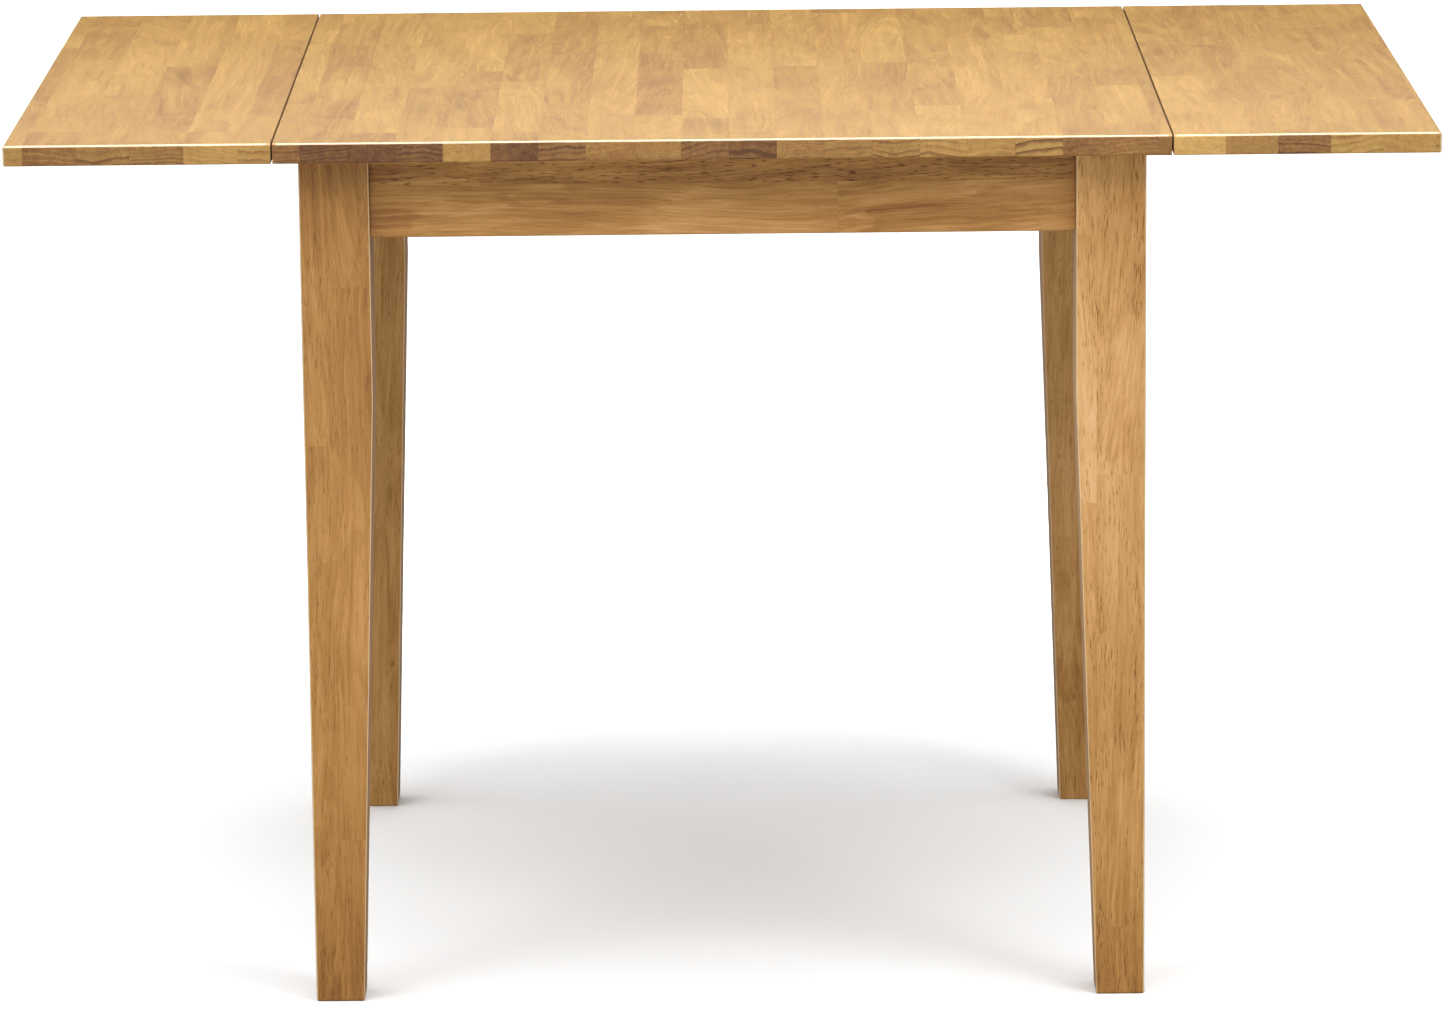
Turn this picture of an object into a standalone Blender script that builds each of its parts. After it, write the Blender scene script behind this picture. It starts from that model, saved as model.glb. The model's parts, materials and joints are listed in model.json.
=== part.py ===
"""Drop leaf table: a square centre panel on four tapered legs, with a hinged leaf at each end.

Metres, +Z up. The origin is on the floor under the middle of the top. The leaves hang from the
centre panel's left and right ends, and each is held level by three hinges and two folding stays.
"""

import math

import bmesh
import bpy
from mathutils import Matrix, Vector

GAP = 0.0003  # left between pieces that touch
STEEL_GAUGE = 0.0025
PLATE_CORNER = 0.004  # radius of a steel plate's corners

# The top
HEIGHT = 0.762
LENGTH = 1.2192
WIDTH = 0.762
CENTRE_LENGTH = 0.762
TOP_THICKNESS = 0.018
LEAF_GAP = 0.0015
UNDERSIDE = HEIGHT - TOP_THICKNESS
CENTRE_END = CENTRE_LENGTH / 2
LEAF_START = CENTRE_END + LEAF_GAP
TOP_ARRIS = 0.0025
LOWER_ARRIS_SHARE = 0.6
JOINT_ARRIS_SHARE = 0.2

# The legs
LEG_SIDE = 0.060
FOOT_SIDE = 0.042
TAPER_START = 0.535
LEG_OUTER_X = 0.361
LEG_OUTER_Y = 0.357
LEG_TOP = UNDERSIDE - GAP
LEG_ARRIS = 0.002
LEG_SEAT_CUT = 0.012  # along each inner face, where the corner is cut off to seat the bolt
SEAT_HEIGHT = 0.075

# The aprons
APRON_HEIGHT = 0.070
APRON_THICKNESS = 0.020
APRON_SETBACK = 0.010
APRON_ARRIS = 0.0015

# The corner blocks, hanger bolts and wing nuts, in the leg's frame: +X and +Y point outwards
BLOCK_THICKNESS = 0.020
BLOCK_HEIGHT = 0.060
BLOCK_TO_SEAT = 0.002
APRON_INNER = LEG_SIDE / 2 - APRON_SETBACK - APRON_THICKNESS
BOLT_RADIUS = 0.0037
BOLT_IN_LEG = 0.035
BOLT_PAST_NUT = 0.006
BOLT_HEIGHT = UNDERSIDE - APRON_HEIGHT / 2
NUT_HEIGHT = 0.009
NUT_RADIUS = 0.0075
NUT_WAIST = 0.005  # half the width of both wings together, at the body
NUT_WING_REACH = 0.017
NUT_WING_RADIUS = 0.005
NUT_WING_THICKNESS = 0.003

# The hinges, in a frame on the hinge axis: +X points at the leaf
HINGE_X = CENTRE_END + LEAF_GAP / 2
HINGE_DROP = 0.005  # from the underside down to the axis
HINGE_WIDTH = 0.050
HINGE_REACH = 0.030
PLATE_GAUGE = 0.002
KNUCKLE_RADIUS = 0.0042
KNUCKLE_COUNT = 3
KNUCKLE_GAP = 0.0004
PLATE_TO_KNUCKLE = 0.0049
TAB_INSET = 0.00015  # keeps a plate's tab just inside the ends of its knuckle
TAB_END = 0.0006
BORE_RADIUS = 0.0020
PIN_RADIUS = 0.0019
PIN_HEAD_RADIUS = 0.0032
PIN_HEAD_HEIGHT = 0.001
PIN_HEAD_TAPER = 0.7  # how wide the flat end of a head is beside the head
SCREW_HOLE_RADIUS = 0.0021
HINGE_HOLES = ((0.013, -0.017), (0.022, 0.0), (0.013, 0.017))
HINGE_YS = (-0.262, 0.0, 0.262)  # clear of the legs

# The folding stays, in the hinge frame. They fold about the apron pivot, elbow and leaf pivot
APRON_PIVOT = Vector((-0.017, -0.025))
LEAF_PIVOT = Vector((0.095, -0.004))
LONG_ARM = 0.090
SHORT_ARM = 0.026
ARM_RADIUS = 0.006
RIVET_RADIUS = 0.0025
RIVET_HOLE_RADIUS = 0.00265
RIVET_HEAD_RADIUS = 0.0045
RIVET_HEAD_HEIGHT = 0.0015
LAYER = STEEL_GAUGE + GAP  # one arm or ear in the pile along the pivots
EAR_RADIUS = 0.0065
APRON_PLATE_LENGTH = 0.030
APRON_PLATE_HEIGHT = 0.030
APRON_PLATE_HOLES = (-0.009, -0.020)
LEAF_PLATE_LENGTH = 0.040
LEAF_PLATE_WIDTH = 0.026
LEAF_PLATE_HOLES = (-0.012, 0.012)
LEAF_PLATE_HOLE_SETBACK = 0.0156  # from the plate's ear side
STAY_YS = (-0.110, 0.110)

WELD_DISTANCE = 0.00001  # points of one mesh closer than this are one point
ROUND_STEPS = 16
CORNER_STEPS = ROUND_STEPS // 4
BEVEL_STEPS = 3
SMOOTH_ANGLE = math.radians(35)

SIDES = {"right": 0.0, "left": math.pi}
CORNERS = {
    "back_right": (1, 1, 0.0),
    "back_left": (-1, 1, math.pi / 2),
    "front_left": (-1, -1, math.pi),
    "front_right": (1, -1, 3 * math.pi / 2),
}


def clear_scene():
    for item in list(bpy.data.objects):
        bpy.data.objects.remove(item, do_unlink=True)


def new_material(name, colour, roughness, metallic):
    material = bpy.data.materials.new(name)
    material.use_nodes = True
    shader = material.node_tree.nodes["Principled BSDF"]
    shader.inputs["Base Color"].default_value = (*colour, 1.0)
    shader.inputs["Roughness"].default_value = roughness
    shader.inputs["Metallic"].default_value = metallic
    return material


def place(name, mesh, material, location=(0, 0, 0), turn=0.0, parent=None):
    """One named piece in the table's collection."""
    piece = bpy.data.objects.new(name, mesh)
    if not mesh.materials:
        mesh.materials.append(material)
        mesh.shade_smooth()
        mesh.set_sharp_from_angle(angle=SMOOTH_ANGLE)
    piece.location = location
    piece.rotation_euler.z = turn
    piece.parent = parent
    TABLE.objects.link(piece)
    return piece


def place_empty(name, location, turn=0.0, parent=None):
    empty = bpy.data.objects.new(name, None)
    empty.location = location
    empty.rotation_euler.z = turn
    empty.parent = parent
    TABLE.objects.link(empty)
    return empty


def evaluated_mesh(item):
    """The item's mesh with its modifiers applied. The item itself is removed."""
    bpy.context.scene.collection.objects.link(item)
    graph = bpy.context.evaluated_depsgraph_get()
    mesh = bpy.data.meshes.new_from_object(item.evaluated_get(graph))
    bpy.data.objects.remove(item)
    return mesh


def mesh_from(shape, name):
    mesh = bpy.data.meshes.new(name)
    shape.to_mesh(mesh)
    shape.free()
    return mesh


def box_shape(low, high):
    """A bmesh box between two corners."""
    low, high = Vector(low), Vector(high)
    shape = bmesh.new()
    bmesh.ops.create_cube(shape, size=1.0)
    bmesh.ops.scale(shape, vec=high - low, verts=shape.verts)
    bmesh.ops.translate(shape, vec=(low + high) / 2, verts=shape.verts)
    return shape


def rod_mesh(radius, start, end):
    """A solid round rod between two points."""
    start, end = Vector(start), Vector(end)
    along = end - start
    turn = along.to_track_quat("Z", "Y").to_matrix().to_4x4()
    shape = bmesh.new()
    bmesh.ops.create_cone(
        shape,
        cap_ends=True,
        segments=ROUND_STEPS,
        radius1=radius,
        radius2=radius,
        depth=along.length,
        matrix=Matrix.Translation((start + end) / 2) @ turn,
    )
    return mesh_from(shape, "rod")


def combined(mesh, tool, operation):
    """The mesh joined with the tool (UNION) or cut by it (DIFFERENCE)."""
    body = bpy.data.objects.new("body", mesh)
    other = bpy.data.objects.new("tool", tool)
    bpy.context.scene.collection.objects.link(other)
    boolean = body.modifiers.new("Join or cut", "BOOLEAN")
    boolean.operation = operation
    boolean.solver = "EXACT"
    boolean.object = other
    result = evaluated_mesh(body)
    bpy.data.objects.remove(other)
    return result


def united(first, *others):
    for other in others:
        first = combined(first, other, "UNION")
    return first


def cut(mesh, *tools):
    for tool in tools:
        mesh = combined(mesh, tool, "DIFFERENCE")
    return mesh


def arc(centre, radius, start, end, steps):
    """Points along an arc, from one angle to another, both ends included."""
    points = []
    for i in range(steps + 1):
        angle = start + (end - start) * i / steps
        points.append(Vector(centre) + radius * Vector((math.cos(angle), math.sin(angle))))
    return points


def circle(centre, radius):
    return arc(centre, radius, 0, 2 * math.pi, ROUND_STEPS)[:-1]


def rounded_rectangle(low, high, radius):
    """A rectangle's outline, from the corner nearest low, with round corners."""
    corners = (
        (low[0] + radius, low[1] + radius, math.pi),
        (high[0] - radius, low[1] + radius, math.pi * 3 / 2),
        (high[0] - radius, high[1] - radius, 0.0),
        (low[0] + radius, high[1] - radius, math.pi / 2),
    )
    outline = []
    for x, y, start in corners:
        outline += arc((x, y), radius, start, start + math.pi / 2, CORNER_STEPS)
    return outline


def plate_mesh(outline, thickness, holes=()):
    """A flat plate in the XY plane, from z = 0 up, with round holes given as (centre, radius)."""
    curve = bpy.data.curves.new("outline", "CURVE")
    curve.dimensions = "2D"
    curve.fill_mode = "BOTH"
    curve.extrude = thickness / 2
    for points in (outline, *(circle(centre, radius) for centre, radius in holes)):
        spline = curve.splines.new("POLY")
        spline.points.add(len(points) - 1)
        for point, (x, y) in zip(spline.points, points):
            point.co = (x, y, 0, 1)
        spline.use_cyclic_u = True
    mesh = evaluated_mesh(bpy.data.objects.new("outline", curve))
    bpy.data.curves.remove(curve)
    shape = bmesh.new()
    shape.from_mesh(mesh)
    bmesh.ops.remove_doubles(shape, verts=shape.verts, dist=WELD_DISTANCE)
    bmesh.ops.translate(shape, vec=(0, 0, thickness / 2), verts=shape.verts)
    bmesh.ops.recalc_face_normals(shape, faces=shape.faces)
    return mesh_from(shape, "plate")


def turned_mesh(profile):
    """A solid of revolution about Z. The profile, (radius, height), runs from top to bottom."""
    shape = bmesh.new()
    points = [shape.verts.new((radius, 0, height)) for radius, height in profile]
    for upper, lower in zip(points, points[1:]):
        shape.edges.new((upper, lower))
    turned = bpy.data.objects.new("turned", mesh_from(shape, "profile"))
    screw = turned.modifiers.new("Screw", "SCREW")
    screw.steps = ROUND_STEPS
    screw.render_steps = ROUND_STEPS
    screw.use_merge_vertices = True
    screw.merge_threshold = WELD_DISTANCE
    return evaluated_mesh(turned)


def standing(mesh):
    """A plate drawn in XY stood up in the XZ plane, its thickness along +Y."""
    mesh.transform(Matrix.Rotation(math.pi / 2, 4, "X"))
    mesh.transform(Matrix.Diagonal((1, -1, 1, 1)))
    mesh.flip_normals()
    return mesh


def moved(mesh, x=0.0, y=0.0, z=0.0):
    mesh.transform(Matrix.Translation((x, y, z)))
    return mesh


def rounded_box(name, low, high, arris, weight_of=None):
    """A box mesh whose edges are rounded by weight_of(edge's middle) times the arris radius."""
    shape = box_shape(low, high)
    if weight_of:
        weigh_edges(shape, weight_of)
    return bevelled(mesh_from(shape, name), arris, by_weight=weight_of is not None)


def weigh_edges(shape, weight_of):
    weights = shape.edges.layers.float.new("bevel_weight_edge")
    for edge in shape.edges:
        middle = (edge.verts[0].co + edge.verts[1].co) / 2
        edge[weights] = weight_of(middle)


def bevelled(mesh, width, by_weight):
    rounded = bpy.data.objects.new("rounded", mesh)
    bevel = rounded.modifiers.new("Bevel", "BEVEL")
    bevel.width = width
    bevel.segments = BEVEL_STEPS
    bevel.limit_method = "WEIGHT" if by_weight else "NONE"
    return evaluated_mesh(rounded)


# The top

def panel_weight(middle, joint_xs):
    """How much of the full arris an edge of a top panel gets: least along a leaf joint."""
    if any(abs(middle.x - x) < GAP for x in joint_xs):
        return JOINT_ARRIS_SHARE
    return LOWER_ARRIS_SHARE if middle.z < UNDERSIDE + TOP_THICKNESS / 4 else 1.0


def build_centre_panel(material):
    mesh = rounded_box(
        "centre_panel",
        (-CENTRE_END, -WIDTH / 2, UNDERSIDE),
        (CENTRE_END, WIDTH / 2, HEIGHT),
        TOP_ARRIS,
        lambda middle: panel_weight(middle, (-CENTRE_END, CENTRE_END)),
    )
    place("centre_panel", mesh, material)


def leaf_mesh():
    """A leaf in the hinge frame."""
    mesh = rounded_box(
        "leaf",
        (LEAF_START, -WIDTH / 2, UNDERSIDE),
        (LENGTH / 2, WIDTH / 2, HEIGHT),
        TOP_ARRIS,
        lambda middle: panel_weight(middle, (LEAF_START,)),
    )
    return moved(mesh, x=-HINGE_X, z=HINGE_DROP - UNDERSIDE)


# The frame

def leg_mesh():
    """A leg in its own frame, on the floor, its outer faces at +X and +Y."""
    half = LEG_SIDE / 2
    shape = box_shape((-half, -half, 0), (half, half, LEG_TOP))
    bmesh.ops.bisect_plane(
        shape,
        geom=shape.verts[:] + shape.edges[:] + shape.faces[:],
        plane_co=(0, 0, TAPER_START),
        plane_no=(0, 0, 1),
    )
    for vert in shape.verts:
        if vert.co.z < TAPER_START / 2:
            vert.co.x = max(vert.co.x, half - FOOT_SIDE)
            vert.co.y = max(vert.co.y, half - FOOT_SIDE)

    def weight(middle):
        at_top = middle.z > LEG_TOP - GAP
        on_taper_line = abs(middle.z - TAPER_START) < GAP
        return 0.0 if at_top or on_taper_line else 1.0

    weigh_edges(shape, weight)
    mesh = bevelled(mesh_from(shape, "leg"), LEG_ARRIS, by_weight=True)
    return cut(mesh, seat_cutter(), bolt_hole(BOLT_IN_LEG + BOLT_PAST_NUT / 2))


def diagonal(offset, height):
    """The point that far along the leg's diagonal, outwards from its middle."""
    along = offset / math.sqrt(2)
    return Vector((along, along, height))


SEAT_OFFSET = (LEG_SEAT_CUT - LEG_SIDE) / math.sqrt(2)
BLOCK_OUTER_OFFSET = SEAT_OFFSET - BLOCK_TO_SEAT
BLOCK_INNER_OFFSET = BLOCK_OUTER_OFFSET - BLOCK_THICKNESS


def seat_cutter():
    """A block that takes the leg's inner corner off, level with the aprons."""
    reach = LEG_SIDE
    shape = box_shape((SEAT_OFFSET - reach, -reach, 0), (SEAT_OFFSET, reach, reach * 2))
    mesh = mesh_from(shape, "seat")
    mesh.transform(Matrix.Rotation(math.pi / 4, 4, "Z"))
    return moved(mesh, z=UNDERSIDE - SEAT_HEIGHT)


def bolt_hole(depth):
    """A round cutter along the bolt, from inside the corner block to that deep in the leg."""
    start = diagonal(BLOCK_INNER_OFFSET - BLOCK_THICKNESS, BOLT_HEIGHT)
    return rod_mesh(BOLT_RADIUS + GAP, start, diagonal(SEAT_OFFSET + depth, BOLT_HEIGHT))


def corner_block_mesh():
    """A mitred block between two aprons, in the leg's frame."""
    end = APRON_INNER - GAP
    outer = BLOCK_OUTER_OFFSET * math.sqrt(2) - end
    inner = BLOCK_INNER_OFFSET * math.sqrt(2) - end
    outline = [(inner, end), (end, inner), (end, outer), (outer, end)]
    low = UNDERSIDE - (APRON_HEIGHT + BLOCK_HEIGHT) / 2
    block = moved(plate_mesh(outline, BLOCK_HEIGHT), z=low)
    return cut(block, bolt_hole(BOLT_IN_LEG))


def bolt_mesh():
    """A hanger bolt in the leg's frame, its ends chamfered."""
    start = BLOCK_INNER_OFFSET - NUT_HEIGHT - BOLT_PAST_NUT
    end = SEAT_OFFSET + BOLT_IN_LEG
    chamfer = BOLT_RADIUS / 3
    bolt = turned_mesh(
        [
            (0, end),
            (BOLT_RADIUS - chamfer, end),
            (BOLT_RADIUS, end - chamfer),
            (BOLT_RADIUS, start + chamfer),
            (BOLT_RADIUS - chamfer, start),
            (0, start),
        ]
    )
    return laid_on_diagonal(bolt)


def laid_on_diagonal(mesh):
    """Turns a mesh made along Z to lie along the leg's diagonal, at the bolt's height."""
    mesh.transform(Matrix.Rotation(math.pi / 2, 4, "Y"))
    mesh.transform(Matrix.Rotation(math.pi / 4, 4, "Z"))
    return moved(mesh, z=BOLT_HEIGHT)


def wing_outline():
    """Both wings of the nut, seen from the front: a bar with round ends that rise above it."""
    tip = Vector((NUT_WING_REACH - NUT_WING_RADIUS, NUT_HEIGHT))
    right = arc(tip, NUT_WING_RADIUS, -math.pi / 3, math.pi * 2 / 3, ROUND_STEPS // 2)
    left = [Vector((-point.x, point.y)) for point in reversed(right)]
    low = NUT_HEIGHT / 4
    return [Vector((NUT_WAIST, low)), *right, *left, Vector((-NUT_WAIST, low))]


def wing_nut_mesh():
    """A wing nut against the corner block, its wings pointing away from the leg."""
    collar = NUT_RADIUS - NUT_HEIGHT / 4
    body = turned_mesh([(0, NUT_HEIGHT), (collar, NUT_HEIGHT), (NUT_RADIUS, 0), (0, 0)])
    wings = standing(plate_mesh(wing_outline(), NUT_WING_THICKNESS))
    moved(wings, y=-NUT_WING_THICKNESS / 2)
    bore = rod_mesh(BOLT_RADIUS + GAP, (0, 0, -NUT_HEIGHT), (0, 0, NUT_HEIGHT * 3))
    nut = cut(united(body, wings), bore)
    nut.transform(Matrix.Rotation(math.pi, 4, "X"))
    moved(nut, z=BLOCK_INNER_OFFSET - GAP)
    return laid_on_diagonal(nut)


def build_corners(wood, block_wood, steel):
    parts = {
        "leg": (leg_mesh(), wood),
        "corner_block": (corner_block_mesh(), block_wood),
        "hanger_bolt": (bolt_mesh(), steel),
        "wing_nut": (wing_nut_mesh(), steel),
    }
    for corner, (side_x, side_y, turn) in CORNERS.items():
        centre_x = side_x * (LEG_OUTER_X - LEG_SIDE / 2)
        centre_y = side_y * (LEG_OUTER_Y - LEG_SIDE / 2)
        for part, (mesh, material) in parts.items():
            place(f"{part}_{corner}", mesh, material, (centre_x, centre_y, 0), turn)


def apron_mesh(span):
    """An apron along X, its outer face at y = 0 and its body behind it."""
    low = UNDERSIDE - APRON_HEIGHT
    return rounded_box(
        "apron",
        (-span / 2, -APRON_THICKNESS, low),
        (span / 2, 0, UNDERSIDE - GAP),
        APRON_ARRIS,
        lambda middle: 1.0 if middle.z < low + GAP else 0.0,
    )


def build_aprons(material):
    long_mesh = apron_mesh(2 * (LEG_OUTER_X - LEG_SIDE - GAP))
    side_mesh = apron_mesh(2 * (LEG_OUTER_Y - LEG_SIDE - GAP))
    face_x = LEG_OUTER_X - APRON_SETBACK
    face_y = LEG_OUTER_Y - APRON_SETBACK
    place("apron_back", long_mesh, material, (0, face_y, 0))
    place("apron_front", long_mesh, material, (0, -face_y, 0), math.pi)
    place("apron_left", side_mesh, material, (-face_x, 0, 0), math.pi / 2)
    place("apron_right", side_mesh, material, (face_x, 0, 0), -math.pi / 2)


# The hinges

def knuckle_spans(first):
    """The (start, end) along Y of every second knuckle, from the first."""
    pitch = HINGE_WIDTH / KNUCKLE_COUNT
    start = -HINGE_WIDTH / 2
    return [
        (start + i * pitch + KNUCKLE_GAP / 2, start + (i + 1) * pitch - KNUCKLE_GAP / 2)
        for i in range(first, KNUCKLE_COUNT, 2)
    ]


def hinge_plate_mesh(first_knuckle):
    """One hinge plate on the +X side, with its knuckles round the axis."""
    half = HINGE_WIDTH / 2
    outline = [(PLATE_TO_KNUCKLE, -half)]
    for low, high in knuckle_spans(first_knuckle):
        tab = (low + TAB_INSET, high - TAB_INSET)
        outline += [(PLATE_TO_KNUCKLE, tab[0]), (TAB_END, tab[0])]
        outline += [(TAB_END, tab[1]), (PLATE_TO_KNUCKLE, tab[1])]
    outline += [(PLATE_TO_KNUCKLE, half), *plate_end(half)]
    holes = [(centre, SCREW_HOLE_RADIUS) for centre in HINGE_HOLES]
    plate = moved(plate_mesh(outline, PLATE_GAUGE, holes), z=HINGE_DROP - GAP - PLATE_GAUGE)
    return united(plate, *knuckle_meshes(first_knuckle))


def plate_end(half):
    """The two round corners at the far end of a hinge plate."""
    radius = PLATE_CORNER
    far = HINGE_REACH - radius
    upper = arc((far, half - radius), radius, math.pi / 2, 0, CORNER_STEPS)
    lower = arc((far, radius - half), radius, 0, -math.pi / 2, CORNER_STEPS)
    return upper + lower


def knuckle_meshes(first):
    """The knuckles as rings about the Y axis."""
    meshes = []
    for low, high in knuckle_spans(first):
        ring = plate_mesh(circle((0, 0), KNUCKLE_RADIUS), high - low, [((0, 0), BORE_RADIUS)])
        meshes.append(moved(standing(ring), y=low))
    return meshes


def hinge_pin_mesh():
    """A straight pin with a low head at each end, along Y."""
    end = HINGE_WIDTH / 2
    head_end = end + PIN_HEAD_HEIGHT
    flat = PIN_HEAD_RADIUS * PIN_HEAD_TAPER
    upper = [(0, head_end), (flat, head_end), (PIN_HEAD_RADIUS, end), (PIN_RADIUS, end)]
    lower = [(radius, -height) for radius, height in reversed(upper)]
    pin = turned_mesh(upper + lower)
    pin.transform(Matrix.Rotation(math.pi / 2, 4, "X"))
    return pin


def build_hinges(side, fixed, leaf, steel):
    fixed_plate = hinge_plate_mesh(first_knuckle=0)
    fixed_plate.transform(Matrix.Rotation(math.pi, 4, "Z"))
    leaf_plate = hinge_plate_mesh(first_knuckle=1)
    pin = hinge_pin_mesh()
    for number, y in enumerate(HINGE_YS, start=1):
        name = f"hinge_{side}_{number}"
        place(f"{name}_fixed_plate", fixed_plate, steel, (0, y, 0), parent=fixed)
        place(f"{name}_pin", pin, steel, (0, y, 0), parent=fixed)
        place(f"{name}_leaf_plate", leaf_plate, steel, (0, y, 0), parent=leaf)


# The folding stays

def elbow_point():
    """Where the two arms meet below the line between their pivots, with the leaf level."""
    across = LEAF_PIVOT - APRON_PIVOT
    span = across.length
    along = (LONG_ARM**2 - SHORT_ARM**2 + span**2) / (2 * span)
    drop = math.sqrt(LONG_ARM**2 - along**2)
    direction = across / span
    return APRON_PIVOT + along * direction + drop * Vector((direction.y, -direction.x))


def arm_mesh(length, layer, head_side):
    """A flat arm along +X from its pivot hole. A rivet head on its far end faces head_side * Y."""
    half_turn = ROUND_STEPS // 2
    outline = arc((0, 0), ARM_RADIUS, math.pi / 2, math.pi * 3 / 2, half_turn)
    outline += arc((length, 0), ARM_RADIUS, -math.pi / 2, math.pi / 2, half_turn)
    arm = plate_mesh(outline, STEEL_GAUGE, [((0, 0), RIVET_HOLE_RADIUS)])
    middle = STEEL_GAUGE / 2
    head_end = middle + head_side * (middle + RIVET_HEAD_HEIGHT)
    head = rod_mesh(RIVET_HEAD_RADIUS, (length, 0, middle), (length, 0, head_end))
    return moved(standing(united(arm, head)), y=layer * LAYER)


def place_arm(name, mesh, steel, pivot, elbow, y, parent):
    """An arm on its pivot, turned so that its far end is at the elbow."""
    along = elbow - pivot
    arm = place(name, mesh, steel, (pivot.x, y, pivot.y), parent=parent)
    arm.rotation_euler.y = -math.atan2(along.y, along.x)


def rivet_mesh(pivot, start_layer, end_layer):
    """A rivet that stands out of an ear, through the next arm, to its head beyond it."""
    out = 1 if end_layer > start_layer else -1
    start = start_layer * LAYER + LAYER / 2
    ear_face = start_layer * LAYER + (STEEL_GAUGE if out > 0 else 0)
    head_start = ear_face + out * (STEEL_GAUGE + 2 * GAP)
    head_end = head_start + out * RIVET_HEAD_HEIGHT
    x, z = pivot
    shank = rod_mesh(RIVET_RADIUS, (x, start, z), (x, head_start + out * GAP, z))
    head = rod_mesh(RIVET_HEAD_RADIUS, (x, head_start, z), (x, head_end, z))
    return united(shank, head)


def apron_plate_mesh():
    """A plate on the side apron's outer face, with an ear that carries the long arm."""
    face = LEG_OUTER_X - APRON_SETBACK + GAP - HINGE_X
    x, z = APRON_PIVOT
    half = APRON_PLATE_HEIGHT / 2
    low, high = (-half, STEEL_GAUGE - APRON_PLATE_LENGTH), (half, STEEL_GAUGE)
    flange = plate_mesh(
        rounded_rectangle(low, high, PLATE_CORNER),
        STEEL_GAUGE,
        [((0, y), SCREW_HOLE_RADIUS) for y in APRON_PLATE_HOLES],
    )
    flange.transform(Matrix.Rotation(math.pi / 2, 4, "Y"))
    moved(flange, x=face, z=z)
    ear_outline = [(face + GAP, z + EAR_RADIUS), (face + GAP, z - EAR_RADIUS)]
    ear_outline += arc((x, z), EAR_RADIUS, -math.pi / 2, math.pi / 2, ROUND_STEPS // 2)
    ear = moved(standing(plate_mesh(ear_outline, STEEL_GAUGE - GAP)), y=GAP / 2)
    return united(flange, ear, rivet_mesh(APRON_PIVOT, 0, 1))


def leaf_plate_mesh():
    """A plate under the leaf, with an ear that hangs down and carries the short arm."""
    top = HINGE_DROP - GAP
    x, z = LEAF_PIVOT
    near = 3 * LAYER
    half = LEAF_PLATE_LENGTH / 2
    hole_y = near + LEAF_PLATE_HOLE_SETBACK
    flange = plate_mesh(
        rounded_rectangle((x - half, near), (x + half, near + LEAF_PLATE_WIDTH), PLATE_CORNER),
        STEEL_GAUGE,
        [((x + across, hole_y), SCREW_HOLE_RADIUS) for across in LEAF_PLATE_HOLES],
    )
    moved(flange, z=top - STEEL_GAUGE)
    ear_outline = [(x + 2 * EAR_RADIUS, top - GAP), (x - 2 * EAR_RADIUS, top - GAP)]
    ear_outline += arc((x, z), EAR_RADIUS, math.pi, 2 * math.pi, ROUND_STEPS // 2)
    ear = moved(standing(plate_mesh(ear_outline, STEEL_GAUGE - GAP)), y=near + GAP / 2)
    return united(flange, ear, rivet_mesh(LEAF_PIVOT, 3, 2))


def build_stays(side, fixed, leaf, steel):
    elbow = elbow_point()
    apron_plate = apron_plate_mesh()
    leaf_plate = leaf_plate_mesh()
    long_arm = arm_mesh(LONG_ARM, layer=1, head_side=-1)
    short_arm = arm_mesh(SHORT_ARM, layer=2, head_side=1)
    for number, y in enumerate(STAY_YS, start=1):
        name = f"stay_{side}_{number}"
        place(f"{name}_apron_plate", apron_plate, steel, (0, y, 0), parent=fixed)
        place(f"{name}_leaf_plate", leaf_plate, steel, (0, y, 0), parent=leaf)
        place_arm(f"{name}_long_arm", long_arm, steel, APRON_PIVOT, elbow, y, fixed)
        place_arm(f"{name}_short_arm", short_arm, steel, LEAF_PIVOT, elbow, y, leaf)


def build_side(side, turn, panel_wood, steel, stay_steel):
    """A leaf with its hinges and stays. Both sides are one design, turned half way round."""
    table_end = place_empty(f"{side}_end", (0, 0, 0), turn)
    axis = (HINGE_X, 0, UNDERSIDE - HINGE_DROP)
    fixed = place_empty(f"{side}_fixed", axis, parent=table_end)
    leaf = place_empty(f"{side}_leaf_axis", axis, parent=table_end)
    place(f"leaf_{side}", leaf_mesh(), panel_wood, parent=leaf)
    build_hinges(side, fixed, leaf, steel)
    build_stays(side, fixed, leaf, stay_steel)


def build_table():
    panel_wood = new_material("panel_wood", (0.62, 0.40, 0.20), 0.4, 0.0)
    leg_wood = new_material("leg_wood", (0.50, 0.27, 0.12), 0.4, 0.0)
    apron_wood = new_material("apron_wood", (0.40, 0.21, 0.10), 0.4, 0.0)
    block_wood = new_material("block_wood", (0.66, 0.50, 0.32), 0.7, 0.0)
    hinge_steel = new_material("hinge_steel", (0.60, 0.60, 0.60), 0.35, 1.0)
    stay_steel = new_material("stay_steel", (0.55, 0.55, 0.56), 0.35, 1.0)
    bolt_steel = new_material("bolt_steel", (0.66, 0.64, 0.58), 0.3, 1.0)
    build_centre_panel(panel_wood)
    build_aprons(apron_wood)
    build_corners(leg_wood, block_wood, bolt_steel)
    for side, turn in SIDES.items():
        build_side(side, turn, panel_wood, hinge_steel, stay_steel)


clear_scene()
TABLE = bpy.data.collections.new("drop_leaf_table")
bpy.context.scene.collection.children.link(TABLE)
build_table()
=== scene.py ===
"""Drop leaf table: the looks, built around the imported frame.

Metres, +Z up. The origin is on the floor under the middle of the top. The front is towards -Y.
"""

import json
import math

import bmesh
import bpy
from mathutils import Matrix, Vector


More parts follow.
